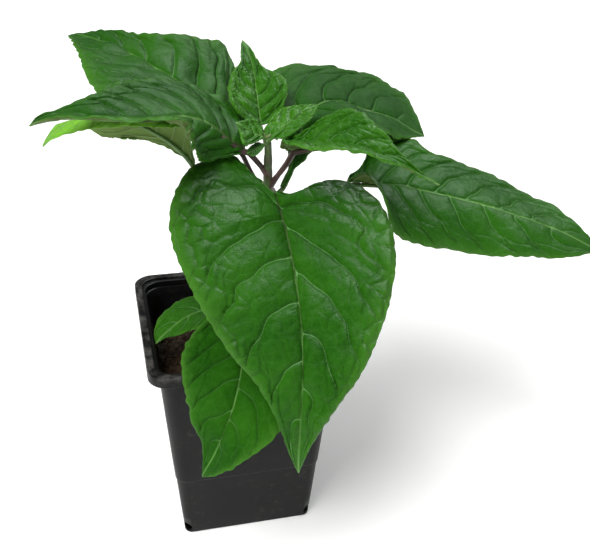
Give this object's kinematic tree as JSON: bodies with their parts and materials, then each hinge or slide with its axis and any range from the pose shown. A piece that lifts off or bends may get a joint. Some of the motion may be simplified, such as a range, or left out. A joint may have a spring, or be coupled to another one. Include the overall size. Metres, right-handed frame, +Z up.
{
  "type": "potted chilli pepper plant",
  "caption": "Young chilli pepper plant with broad pointed leaves on an upright stem, growing in soil in a tapered square nursery pot.",
  "frame": {"origin": "middle of the pot's underside, on the surface the pot stands on", "axes": "+Z up along the pot, +X to the right along the pot's front face, +Y to the back"},
  "size_m": [0.2491, 0.166, 0.2256],
  "materials": {
    "pot_plastic": "satin black moulded plastic",
    "potting_soil": null,
    "stem_skin": "smooth green stem skin; stands for plant tissue",
    "grown_leaf": "semi-gloss quilted leaf; stands for plant tissue",
    "young_leaf": "bright glossy young leaf; stands for plant tissue"
  },
  "bodies": {
    "root": {"pot": "pot_plastic", "soil": "potting_soil", "stem": "stem_skin", "leaf_front": "grown_leaf", "leaf_low_front": "grown_leaf", "leaf_low_inner": "grown_leaf", "leaf_back_left": "grown_leaf", "leaf_left": "grown_leaf", "leaf_left_under": "grown_leaf", "leaf_back_right": "grown_leaf", "leaf_right_upper": "grown_leaf", "leaf_right": "grown_leaf", "leaf_crown": "grown_leaf", "shoot_tip": "young_leaf"}
  },
  "joints": []
}
